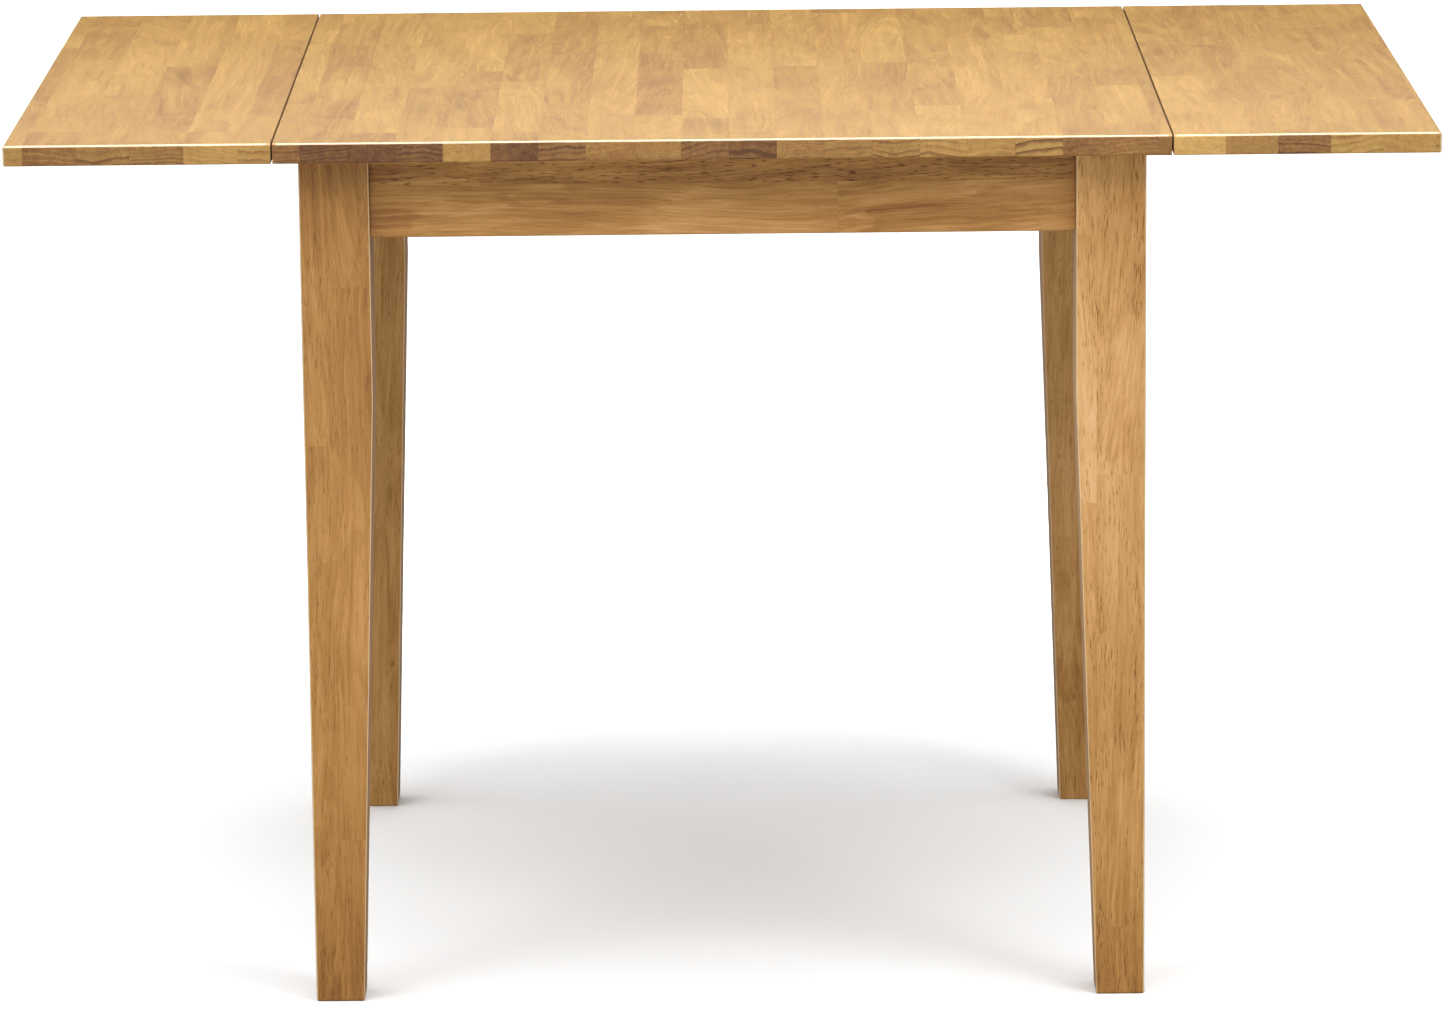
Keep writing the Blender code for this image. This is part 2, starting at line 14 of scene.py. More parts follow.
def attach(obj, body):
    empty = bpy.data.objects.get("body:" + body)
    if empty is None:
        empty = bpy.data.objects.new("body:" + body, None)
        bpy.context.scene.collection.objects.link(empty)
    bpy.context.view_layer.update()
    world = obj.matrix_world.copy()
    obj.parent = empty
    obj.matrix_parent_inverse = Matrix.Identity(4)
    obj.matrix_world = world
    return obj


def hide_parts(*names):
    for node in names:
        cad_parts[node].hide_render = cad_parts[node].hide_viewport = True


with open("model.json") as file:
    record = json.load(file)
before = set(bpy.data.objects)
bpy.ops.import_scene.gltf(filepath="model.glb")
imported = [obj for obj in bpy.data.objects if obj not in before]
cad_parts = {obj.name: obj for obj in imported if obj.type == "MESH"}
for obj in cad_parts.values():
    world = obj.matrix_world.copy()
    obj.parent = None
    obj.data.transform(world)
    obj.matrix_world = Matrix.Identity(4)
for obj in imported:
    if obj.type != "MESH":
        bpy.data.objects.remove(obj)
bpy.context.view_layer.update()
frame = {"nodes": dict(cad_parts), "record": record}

WELD_DISTANCE = 1e-6
FLAT_ANGLE = math.radians(0.5)  # faces that meet at less than this are one flat face
SMOOTH_ANGLE = math.radians(35)  # and faces that meet at less than this are one round one
JOINT_X = 0.38175  # the middle of the gap between the centre panel and a leaf
SIDES = {"right": 1, "left": -1}
CORNERS = {
    "back_left": (-1, 1),
    "back_right": (1, 1),
    "front_left": (-1, -1),
    "front_right": (1, -1),
}


# Nodes ------------------------------------------------------------------------------------------

class Term:
    """A number or vector that a node gives, so that a shader's sums read as sums."""

    def __init__(self, graph, socket):
        self.graph, self.socket = graph, socket

    def __add__(self, other):
        return self.graph.maths("ADD", self, other)

    def __radd__(self, other):
        return self.graph.maths("ADD", other, self)

    def __sub__(self, other):
        return self.graph.maths("SUBTRACT", self, other)

    def __rsub__(self, other):
        return self.graph.maths("SUBTRACT", other, self)

    def __mul__(self, other):
        return self.graph.maths("MULTIPLY", self, other)

    def __truediv__(self, other):
        return self.graph.maths("DIVIDE", self, other)


MIX_INPUTS, MIX_OUTPUT = (0, 6, 7), 2  # a Mix node's factor, two colours and result


class Graph:
    """A material or a world whose nodes are made by calls."""

    def __init__(self, owner):
        owner.use_nodes = True
        self.owner, self.tree = owner, owner.node_tree

    def put(self, socket, value):
        if isinstance(value, Term):
            self.tree.links.new(value.socket, socket)
        else:
            socket.default_value = value

    def node(self, kind, inputs=(), **settings):
        made = self.tree.nodes.new("ShaderNode" + kind)
        for key, value in settings.items():
            setattr(made, key, value)
        for key, value in dict(inputs).items():
            self.put(made.inputs[key], value)
        return made

    def out(self, node, name):
        return Term(self, node.outputs[name])

    def maths(self, operation, a, b=0.0, clamp=False):
        made = self.node("Math", {0: a, 1: b}, operation=operation, use_clamp=clamp)
        return self.out(made, 0)

    def between(self, value, low, high, start=0.0, end=1.0):
        """value's place from low to high, as a smooth step from start to end."""
        names = ("Value", "From Min", "From Max", "To Min", "To Max")
        inputs = dict(zip(names, (value, low, high, start, end)))
        made = self.node("MapRange", inputs, interpolation_type="SMOOTHSTEP")
        return self.out(made, "Result")

    def vector(self, x, y, z):
        return self.out(self.node("CombineXYZ", {"X": x, "Y": y, "Z": z}), "Vector")

    def parts(self, vector):
        made = self.node("SeparateXYZ", {"Vector": vector})
        return [self.out(made, axis) for axis in "XYZ"]

    def noise(self, vector, detail=2.0, roughness=0.5):
        """A cloudy number from 0 to 1, with one cloud to a unit of the vector."""
        inputs = {"Vector": vector, "Scale": 1.0, "Detail": detail, "Roughness": roughness}
        return self.out(self.node("TexNoise", inputs), 0)

    def random(self, vector):
        """Three even random numbers for a whole-number vector."""
        made = self.node("TexWhiteNoise", {"Vector": vector}, noise_dimensions="3D")
        return self.parts(self.out(made, "Color"))

    def ramp(self, factor, stops):
        """The colour at factor, from stops of (place from 0 to 1, colour)."""
        made = self.node("ValToRGB", {"Fac": factor})
        elements = made.color_ramp.elements
        while len(elements) < len(stops):
            elements.new(0.5)
        for element, (position, colour) in zip(elements, stops):
            element.position, element.color = position, (*colour, 1.0)
        return self.out(made, "Color")

    def mixed(self, factor, a, b, mode="MIX"):
        """a where factor is 0 and b where it is 1. Each is a colour."""
        made = self.node("Mix", data_type="RGBA", blend_type=mode)
        for index, value in zip(MIX_INPUTS, (factor, a, b)):
            opaque = value if isinstance(value, (Term, float)) else (*value, 1.0)
            self.put(made.inputs[index], opaque)
        return self.out(made, MIX_OUTPUT)

    def bump(self, height, strength, distance):
        made = self.node("Bump", {"Height": height, "Strength": strength, "Distance": distance})
        return self.out(made, "Normal")

    def finish(self, **values):
        """Sets the Principled shader's sockets by name, with _ for a space."""
        shader = self.tree.nodes["Principled BSDF"]
        for key, value in values.items():
            self.put(shader.inputs[key.replace("_", " ")], value)
        return self.owner


# Wood -------------------------------------------------------------------------------------------

# Where the board's width, length and thickness lie for each direction of the grain
BOARD_AXES = {
    "panel": (0, 1, 2),
    "leg": (0, 2, 1),
    "long_apron": (2, 0, 1),
    "side_apron": (2, 1, 0),
}

FINGER_PITCH = 0.0045
FINGER_LENGTH = 0.010
GLUE_LINE = 0.00018
SHORTEST_BLOCK, BLOCK_STRETCH = 0.75, 0.5  # parts of the mean length
STAVE_SHIFT = 9.0  # how many blocks one stave may be shifted against the next
ROW_SHIFT = 0.29  # how far the next seed shifts the line between two rows, in rows
ROW_STRIDE = 31.0  # keeps the numbers of one row's blocks off the next row's
ELSEWHERE = (17.3, 5.7, 11.9)  # added to a block's number for its other random numbers

# The growth rings
PITH_NEAREST, PITH_SPREAD = 0.02, 0.10  # how far from its tree's middle a block was cut
LEAN, LEAN_THROUGH = 0.22, 0.6  # how much the rings lean along the block
WAVE, WAVE_DETAIL = 0.026, 3.0  # how far they wave
WAVES_ACROSS, WAVES_THROUGH, WAVES_ALONG = 16.0, 14.0, 4.0  # in a metre
WAVE_SHIFT_ACROSS, WAVE_SHIFT_THROUGH = 40.0, 30.0  # of one block's waves against another's
CLOSEST_RINGS = 0.6  # parts of the ring width
LATE_START, LATE_END = 0.30, 0.95  # where in a ring the darker wood is
FAINTEST_RING = 0.1
RING_SEED, RING_KINDS = 3.0, 50.0
# The rings' tone on an end is other than on a face: from one block to the next darker or paler
END_RING_SWING, END_RING_SHIFT = 9.0, 5.5

# The rest of the figure: how often it repeats in a metre, across the grain and along it, and the
# detail and roughness of its noise
FIBRES = (520.0, 14.0, 3.0, 0.65)
STREAKS = (150.0, 4.0, 2.0, 0.5)
PORES = (1150.0, 95.0, 1.0, 0.4)
PORE_PATCHES = (60.0, 9.0, 2.0, 0.5)
CLOUDS_ACROSS, CLOUDS_ALONG, CLOUD_SHIFT = 18.0, 7.0, 20.0
PORE_LEVELS, PATCH_LEVELS = (0.58, 0.72), (0.35, 0.60)  # of the noise where pores start and end
FEWEST_PORES = 0.2

# What each adds to the wood's tone, roughness and height
BLOCK_CONTRAST, END_CONTRAST = 0.06, 0.24
FIBRE_TONE, STREAK_TONE, CLOUD_TONE, GLUE_TONE = 0.34, 0.22, 0.22, 0.12
WOOD_ROUGHNESS, FIBRE_ROUGHNESS, END_ROUGHNESS = 0.36, 0.16, 0.15
PORE_ROUGHNESS, JOINT_ROUGHNESS = 0.25, 0.7
FIBRE_HEIGHT, GLUE_DEPTH, RING_DEPTH = 0.4, 0.5, 0.15
WOOD_BUMP, WOOD_BUMP_DISTANCE = 0.25, 0.0003

# How far a face has to turn: towards the grain to be an end, off every axis to get the painted
# highlight along an edge, up from straight down to get that highlight at all, and sideways to be
# a joint's face, which gets painted shade
END_FACING = (0.55, 0.9)
EDGE_FACING = (0.80, 0.99)
DOWN_FACING = (-0.3, -0.1)
JOINT_FACING = (0.8, 0.95)
SQUARE_REACH = (0.003, 0.005)  # how far from a square edge the painted highlight starts
JOINT_REACH = (0.001, 0.002)  # how far from it the joint's face with painted shade ends
BAND_FADE = 0.0004
BLUSH_COLOUR, BLUSH = (0.98, 0.80, 0.78), 0.15
# Painted highlight: the paler colour along the edges
EDGE_HIGHLIGHT_COLOUR, EDGE_HIGHLIGHT = (0.86, 0.66, 0.40), 0.75
# Painted shade: the joint faces in the gap between the panels are painted dark
JOINT_SHADE_COLOUR, JOINT_SHADE_SHARE = (0.14, 0.050, 0.010), 0.75

# Tones from the darkest, 0, to the palest, 1
HONEY = [
    (0.0, (0.100, 0.038, 0.010)),
    (0.25, (0.250, 0.112, 0.028)),
    (0.5, (0.418, 0.238, 0.059)),
    (0.75, (0.598, 0.359, 0.105)),
    (1.0, (0.760, 0.490, 0.176)),
]
AMBER = [
    (0.0, (0.095, 0.034, 0.008)),
    (0.25, (0.240, 0.096, 0.020)),
    (0.5, (0.410, 0.202, 0.050)),
    (0.75, (0.590, 0.325, 0.112)),
    (1.0, (0.760, 0.460, 0.210)),
]


def blocks(g, across, along, through, stave, first, length, seed, rows):
    """Splits the wood into staves of finger-jointed blocks. One stave starts at first.

    Gives each block's number, its own coordinates and how near its glue lines are, from 0 to 1."""
    column_place = (across - first) / stave
    column = g.maths("FLOOR", column_place)
    row = g.maths("FLOOR", through / rows + seed * ROW_SHIFT) if rows else 0.0
    stave_start, stave_stretch, _ = g.random(g.vector(column, row, seed))
    fingers = g.maths("PINGPONG", through, FINGER_PITCH) * (FINGER_LENGTH / FINGER_PITCH)
    step = (stave_stretch * BLOCK_STRETCH + SHORTEST_BLOCK) * length
    block_place = (along + fingers) / step + stave_start * STAVE_SHIFT
    number = g.maths("FLOOR", block_place)
    in_column = column_place - column - 0.5
    in_block = block_place - number - 0.5
    side_gap = (0.5 - g.maths("ABSOLUTE", in_column)) * stave
    end_gap = (0.5 - g.maths("ABSOLUTE", in_block)) * step
    gap = g.maths("MINIMUM", side_gap, end_gap)
    glue = g.between(gap, 0.0, GLUE_LINE, 1.0, 0.0)
    block = g.vector(column, row * ROW_STRIDE + number if rows else number, seed)
    return block, in_column * stave, in_block * step, glue


def growth_rings(g, u, v, w, width, pith, varied):
    """A point's place across and through its own tree, and how strong its ring is there.

    u, v and w are its place in its block. pith and varied are three random numbers each."""
    pith_distance, pith_turn, spacing = pith
    block_tone, lean, hue = varied
    turn = pith_turn * math.tau
    distance = pith_distance * PITH_SPREAD + PITH_NEAREST
    leaning = (lean - 0.5) * LEAN
    wave = g.vector(
        u * WAVES_ACROSS + block_tone * WAVE_SHIFT_ACROSS,
        v * WAVES_ALONG,
        w * WAVES_ACROSS + hue * WAVE_SHIFT_ACROSS,
    )
    wave_u = g.noise(wave, WAVE_DETAIL) - 0.5
    wave = g.vector(
        w * WAVES_THROUGH,
        u * WAVES_THROUGH + hue * WAVE_SHIFT_THROUGH,
        v * WAVES_ALONG,
    )
    wave_w = g.noise(wave, WAVE_DETAIL) - 0.5
    from_u = u - distance * g.maths("COSINE", turn) + v * leaning + wave_u * WAVE
    from_w = w - distance * g.maths("SINE", turn) - v * leaning * LEAN_THROUGH + wave_w * WAVE
    radius = g.maths("SQRT", from_u * from_u + from_w * from_w)
    ring_place = radius / ((spacing + CLOSEST_RINGS) * width)
    ring = g.maths("FRACT", ring_place)
    ring_number = g.maths("FLOOR", ring_place)
    kind = g.maths("FLOOR", block_tone * RING_KINDS)
    ring_shade = g.random(g.vector(ring_number, RING_SEED, kind))[0]
    late = g.between(ring, LATE_START, LATE_END) - g.between(ring, LATE_END, 1.0)
    return from_u, from_w, late * (ring_shade * (1.0 - FAINTEST_RING) + FAINTEST_RING)


def wood(
    name,
    board,
    stave,
    first,
    seed,
    tone,
    palette=HONEY,
    length=0.27,
    rows=None,
    ring_contrast=0.10,
    ring_width=0.0045,
    end_tone=-0.18,
    grain=1.0,
    pore_tone=0.25,
    painted_shading=(),
    bands=(),
    square_edges=None,
):
    """Solid wood that has one figure through the board, so that its faces and ends agree.

    stave is a stave's width, first is where one starts, length is a block's mean length, and rows
    is how thick the board's layers are.
    Painted light and shade: (place along the grain, reach, tone) of stretches painted paler or
    darker.
    bands are (place across it, reach, tone, pore tone) of paler or darker strips along the grain.
    square_edges is how far from the middle, across the grain, an edge is left sharp, without the
    painted highlight, and with painted shade on its joint's face."""
    g = Graph(bpy.data.materials.new(name))
    coordinates = g.node("TexCoord")
    place = g.parts(g.out(coordinates, "Object"))
    facing = g.parts(g.out(coordinates, "Normal"))
    across_axis, along_axis, through_axis = BOARD_AXES[board]
    across, along, through = place[across_axis], place[along_axis], place[through_axis]
    end_facing = g.maths("ABSOLUTE", facing[along_axis])
    end = g.between(end_facing, *END_FACING)

    number, u, v, glue = blocks(g, across, along, through, stave, first, length, seed, rows)
    pith = g.random(number)
    varied = g.random(g.out(g.node("VectorMath", {0: number, 1: ELSEWHERE}), "Vector"))
    block_tone, _, hue = varied
    from_u, from_w, rings = growth_rings(g, u, v, through, ring_width, pith, varied)

    def texture(x, y, z, looks):
        repeats_across, repeats_along, detail, roughness = looks
        stretched = g.vector(x * repeats_across, y * repeats_along, z * repeats_across)
        return g.noise(stretched, detail, roughness)

    # Fibres along the grain, cloudy figure, and pores that are dashes on a face and dots on an end
    fibre = texture(from_u, v, from_w, FIBRES) - 0.5
    streak = texture(from_u, v, from_w, STREAKS) - 0.5
    cloud_u = u * CLOUDS_ACROSS + hue * CLOUD_SHIFT
    cloud = g.noise(g.vector(cloud_u, v * CLOUDS_ALONG, through * CLOUDS_ACROSS)) - 0.5
    dashes = texture(across, along, through, PORES)
    patches = g.between(texture(u, v, through, PORE_PATCHES), *PATCH_LEVELS)
    all_pores = g.between(dashes, *PORE_LEVELS)
    pores = all_pores * (patches * (1.0 - FEWEST_PORES) + FEWEST_PORES)

    spread = end * (END_CONTRAST - BLOCK_CONTRAST) + BLOCK_CONTRAST
    shade = (
        (block_tone - 0.5) * spread * 2.0
        + rings * (end * (hue * END_RING_SWING - END_RING_SHIFT) - 1.0) * ring_contrast
        + fibre * (FIBRE_TONE * grain)
        + streak * (STREAK_TONE * grain)
        + cloud * (CLOUD_TONE * grain)
        + end * end_tone
        + tone
        - pores * pore_tone
        - glue * GLUE_TONE
    )
    for middle, reach, lift in painted_shading:
        away = g.maths("ABSOLUTE", along - middle)
        shade = shade + g.between(away, 0.0, reach, lift, 0.0)
    for middle, reach, lift, dash_tone in bands:
        away = g.maths("ABSOLUTE", across - middle)
        inside = g.between(away, reach - BAND_FADE, reach, 1.0, 0.0)
        shade = shade + inside * lift - inside * all_pores * dash_tone
    colour = g.ramp(shade, palette)
    colour = g.mixed(hue * BLUSH, colour, BLUSH_COLOUR, "MULTIPLY")
    roughness = WOOD_ROUGHNESS + fibre * FIBRE_ROUGHNESS + end * END_ROUGHNESS
    roughness = roughness + pores * PORE_ROUGHNESS

    # Painted highlight: edges are painted paler, apart from those that look down and the square
    # edges
    side_facing = g.maths("ABSOLUTE", facing[across_axis])
    most = g.maths("MAXIMUM", side_facing, end_facing)
    most = g.maths("MAXIMUM", most, g.maths("ABSOLUTE", facing[through_axis]))
    upward = g.between(facing[2], *DOWN_FACING)
    edge_highlight = g.between(most, *EDGE_FACING, EDGE_HIGHLIGHT, 0.0) * upward
    if square_edges:
        to_edge = g.maths("ABSOLUTE", g.maths("ABSOLUTE", across) - square_edges)
        edge_highlight = edge_highlight * g.between(to_edge, *SQUARE_REACH)
        sideways = g.between(side_facing, *JOINT_FACING)
        # Painted shade in the gap: the joint's faces are darkened and made rougher
        shaded_joint = g.between(to_edge, *JOINT_REACH, 1.0, 0.0) * sideways
        colour = g.mixed(shaded_joint * JOINT_SHADE_SHARE, colour, JOINT_SHADE_COLOUR)
        roughness = roughness + shaded_joint * JOINT_ROUGHNESS
    height = fibre * FIBRE_HEIGHT - pores - glue * GLUE_DEPTH - rings * RING_DEPTH
    return g.finish(
        Base_Color=g.mixed(edge_highlight, colour, EDGE_HIGHLIGHT_COLOUR),
        Roughness=roughness,
        Normal=g.bump(height, WOOD_BUMP, WOOD_BUMP_DISTANCE),
        Specular_IOR_Level=0.35,
    )


# Metal ------------------------------------------------------------------------------------------

# How often each part of the plating repeats in a metre
SCRATCHES_ACROSS, SCRATCHES_ALONG = 2600.0, 60.0
TARNISH_CLOUDS, SPOTS = 90.0, 700.0
TARNISH_LEVELS, SPOT_LEVELS = (0.45, 0.75), (0.62, 0.75)  # of the noise where each starts and ends
STEEL_NOISE_ROUGHNESS = 0.6

# What each adds to how dull and how rough the steel is
TARNISH_WEAR, SCRATCH_WEAR, SPOT_WEAR = 0.7, 0.3, 0.2
TARNISH_ROUGHNESS, SCRATCH_ROUGHNESS = 0.14, 0.12
SPOT_HEIGHT, STEEL_BUMP, STEEL_BUMP_DISTANCE = 0.5, 0.12, 0.0001


def steel(name, colour, dull, roughness, drawn_axis, seed):
    """Plated steel, drawn along one axis, with cloudy plating and fine scratches."""
    g = Graph(bpy.data.materials.new(name))
    x, y, z = g.parts(g.out(g.node("TexCoord"), "Object"))

    def texture(repeats, *looks):
        return g.noise(g.vector(x * repeats[0], y * repeats[1], z * repeats[2] + seed), *looks)

    stretch = [SCRATCHES_ACROSS] * 3
    stretch[drawn_axis] = SCRATCHES_ALONG
    drawn = texture(stretch, 2.0, STEEL_NOISE_ROUGHNESS)
    clouds = texture([TARNISH_CLOUDS] * 3, 4.0, STEEL_NOISE_ROUGHNESS)
    tarnish = g.between(clouds, *TARNISH_LEVELS)
    spots = g.between(texture([SPOTS] * 3), *SPOT_LEVELS)
    worn = tarnish * TARNISH_WEAR + drawn * SCRATCH_WEAR + spots * SPOT_WEAR
    return g.finish(
        Base_Color=g.mixed(g.maths("MULTIPLY", worn, 1.0, clamp=True), colour, dull),
        Metallic=1.0,
        Roughness=roughness + tarnish * TARNISH_ROUGHNESS + drawn * SCRATCH_ROUGHNESS,
        Normal=g.bump(drawn + spots * SPOT_HEIGHT, STEEL_BUMP, STEEL_BUMP_DISTANCE),
    )


# Materials --------------------------------------------------------------------------------------

MATERIALS = {}

PANELS = {
    "centre_panel": dict(stave=0.0404, first=-0.3577, seed=3.0, end_tone=-0.18),
    "leaf_left": dict(stave=0.0455, first=-0.4108, seed=7.0, end_tone=-0.03),
    "leaf_right": dict(stave=0.0445, first=0.4265, seed=11.0, end_tone=-0.05),
}
for name, looks in PANELS.items():
    MATERIALS[name] = wood(
        f"{name}_wood",
        "panel",
        tone=0.49,
        ring_contrast=0.075,
        grain=1.2,
        pore_tone=0.03,
        square_edges=JOINT_X,
        **looks,
    )

# Each leg has two staves, which meet at first
# Painted light and shade in their tones and stretches: both front legs are darker near the floor,
# front_left darker under the top and paler at mid height; front_right is paler all over and in its
# middle, partly its own paler block and partly painted light from the right; the back legs are
# paler high up and darker towards the floor. front_right's band is a paler strip along its inner
# edge, which follows the taper.
LEGS = {
    "front_left": dict(
        first=-0.339,
        tone=0.535,
        ring_contrast=0.08,
        grain=1.3,
        pore_tone=0.16,
        painted_shading=[(0.36, 0.25, 0.07), (0.744, 0.14, -0.12), (0.0, 0.12, -0.12)],
        bands=[(-0.352, 0.013, -0.035, 0.05)],
    ),
    "front_right": dict(
        first=0.319,
        tone=0.65,
        grain=1.6,
        pore_tone=0.34,
        painted_shading=[(0.48, 0.28, 0.15), (0.0, 0.10, -0.12)],
        bands=[(0.309, 0.010, 0.06, 0.0)],
    ),
    "back_left": dict(first=-0.325, tone=0.67, grain=1.6, painted_shading=[(0.0, 0.45, -0.20)]),
    "back_right": dict(first=0.335, tone=0.74, grain=1.6, painted_shading=[(0.0, 0.40, -0.28)]),
}
for number, (corner, looks) in enumerate(LEGS.items()):
    MATERIALS[f"leg_{corner}"] = wood(
        f"leg_{corner}_wood",
        "leg",
        palette=AMBER,
        stave=0.050,
        length=0.42,
        rows=0.034,
        seed=21.0 + number,
        ring_width=0.007,
        **looks,
    )

# Each apron has a darker, more open-pored strip along its top
APRONS = {"front": "long_apron", "back": "long_apron", "left": "side_apron", "right": "side_apron"}
for number, (side, board) in enumerate(APRONS.items()):
    MATERIALS[f"apron_{side}"] = wood(
        f"apron_{side}_wood",
        board,
        palette=AMBER,
        stave=0.050,
        first=0.719,
        length=4.0,
        seed=31.0 + 2 * number,
        tone=0.545,
        ring_contrast=0.15,
        ring_width=0.007,
        grain=1.9,
        pore_tone=0.08,
        # Paler near the middle, and darker at both ends beside the legs, which is painted shade
        painted_shading=[(-0.05, 0.20, 0.06), (-0.31, 0.06, -0.08), (0.31, 0.06, -0.08)],
        bands=[(0.744, 0.025, -0.10, 0.35)],
    )

BLOCK_WOOD = wood("block_wood", "leg", stave=0.5, first=-1.25, seed=51.0, tone=0.75, length=2.0)

# Colour, dull colour, roughness, the axis that it is drawn along, and seed
HINGE_STEEL = steel("hinge_steel", (0.62, 0.61, 0.58), (0.40, 0.39, 0.36), 0.30, 1, 1.0)
STAY_STEEL = steel("stay_steel", (0.58, 0.58, 0.58), (0.34, 0.34, 0.34), 0.32, 0, 2.0)
BOLT_STEEL = steel("bolt_steel", (0.66, 0.62, 0.50), (0.42, 0.37, 0.26), 0.28, 2, 3.0)
SCREW_STEEL = steel("screw_steel", (0.68, 0.64, 0.52), (0.44, 0.38, 0.27), 0.26, 2, 4.0)


# Pieces -----------------------------------------------------------------------------------------

BLOCK_ROUNDING, STAY_ROUNDING, SMALL_ROUNDING = 0.0008, 0.00025, 0.0002


def own_copy(node, body, material, slot, bevel):
    """A piece that stands for a CAD node: its shape with flat faces whole and round ones smooth."""
    mesh = frame["nodes"][node].data.copy()
    mesh.name = f"{node}_piece"
    for name in ("custom_normal", "sharp_face", "sharp_edge"):
        if name in mesh.attributes:
            mesh.attributes.remove(mesh.attributes[name])
    shape = bmesh.new()
    shape.from_mesh(mesh)
    bmesh.ops.remove_doubles(shape, verts=shape.verts, dist=WELD_DISTANCE)
    bmesh.ops.dissolve_limit(
        shape, angle_limit=FLAT_ANGLE, verts=shape.verts, edges=shape.edges, delimit=set()
    )
    shape.to_mesh(mesh)
    shape.free()
    mesh.materials.clear()
    return finished(f"{node}_piece", mesh, body, material, slot, bevel, node)


def finished(name, mesh, body, material, slot, bevel=0.0, *stands_for):
    """Makes a piece of a mesh, on its body. stands_for are the CAD nodes that it replaces."""
    mesh.materials.append(material)
    mesh.shade_smooth()
    mesh.set_sharp_from_angle(angle=SMOOTH_ANGLE)
    piece = bpy.data.objects.new(name, mesh)
    bpy.context.scene.collection.objects.link(piece)
    if bevel:
        rounding = piece.modifiers.new("rounding", "BEVEL")
        rounding.width, rounding.segments, rounding.limit_method = bevel, 2, "ANGLE"
        rounding.angle_limit = SMOOTH_ANGLE
        rounding.use_clamp_overlap = True
    normals = piece.modifiers.new("normals", "WEIGHTED_NORMAL")
    normals.keep_sharp = not bevel
    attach(piece, body)
    if stands_for:
        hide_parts(*stands_for)
    return piece


BODY_OF = {
    node: body for body, nodes in frame["record"]["behaviour"]["bodies"].items() for node in nodes
}


def finish_of(node):
    """(material, slot, bevel) of a CAD node."""
    if node.startswith(("centre_panel", "leaf")):
        return MATERIALS[node], "panel_wood", 0.0
    if node.startswith("leg"):
        return MATERIALS[node], "leg_wood", 0.0
    if node.startswith("apron"):
        return MATERIALS[node], "apron_wood", 0.0
    if node.startswith("corner_block"):
        return BLOCK_WOOD, "block_wood", BLOCK_ROUNDING
    if node.startswith("hinge"):
        return HINGE_STEEL, "hinge_steel", SMALL_ROUNDING
    if node.startswith("stay"):
        return STAY_STEEL, "stay_steel", STAY_ROUNDING
    return BOLT_STEEL, "bolt_steel", SMALL_ROUNDING


for node in frame["nodes"]:
    material, slot, bevel = finish_of(node)
    own_copy(node, BODY_OF[node], material, slot, bevel)


# Screws -----------------------------------------------------------------------------------------

HEAD_RADIUS, HEAD_HEIGHT, HEAD_RIM = 0.0036, 0.0014, 0.0004
SHANK_RADIUS = 0.0020
SCREW_SIDES, DOME_STEPS = 32, 6
RECESS_LENGTH, RECESS_WIDTH, RECESS_DEPTH, RECESS_TAPER = 0.0040, 0.0009, 0.0010, 0.6
# How far each kind goes under its head: through most of its steel plate, or just into the wood
HINGE_PLATE_DEPTH, STAY_PLATE_DEPTH, WOOD_DEPTH = 0.0019, 0.0024, 0.0003
SCREW_SPIN, NAME_SPIN = 0.7, 0.3  # a screw is turned by its number and its piece's name


def lathe(profile, sides):
    """A solid of turning from (radius, height) points, listed from the bottom to the top."""
    shape = bmesh.new()
    turns = [math.tau * i / sides for i in range(sides)]
    rings = [
        [shape.verts.new((radius * math.cos(a), radius * math.sin(a), height)) for a in turns]
        for radius, height in profile
    ]
    for low, high in zip(rings, rings[1:]):
        for i in range(sides):
            j = (i + 1) % sides
            shape.faces.new((low[i], low[j], high[j], high[i]))
    shape.faces.new(list(reversed(rings[0])))
    shape.faces.new(rings[-1])
    return shape


def cross_prism(length, width, low, high, taper):
    """A plus-shaped prism, smaller at its low end."""
    reach, half = length / 2, width / 2
    arm = [(reach, -half), (reach, half), (half, half)]
    outline = []
    for cosine, sine in ((1, 0), (0, 1), (-1, 0), (0, -1)):
        outline += [(x * cosine - y * sine, x * sine + y * cosine) for x, y in arm]
    shape = bmesh.new()
    bottom = [shape.verts.new((x * taper, y * taper, low)) for x, y in outline]
    top = [shape.verts.new((x, y, high)) for x, y in outline]
    count = len(outline)
    for i in range(count):
        j = (i + 1) % count
        shape.faces.new((bottom[i], bottom[j], top[j], top[i]))
    shape.faces.new(list(reversed(bottom)))
    shape.faces.new(top)
    return shape


def temporary(shape, name):
    """An object that stands only until the screw is cut."""
    mesh = bpy.data.meshes.new(name)
    shape.to_mesh(mesh)
    shape.free()
    thing = bpy.data.objects.new(name, mesh)
    bpy.context.scene.collection.objects.link(thing)
    return thing


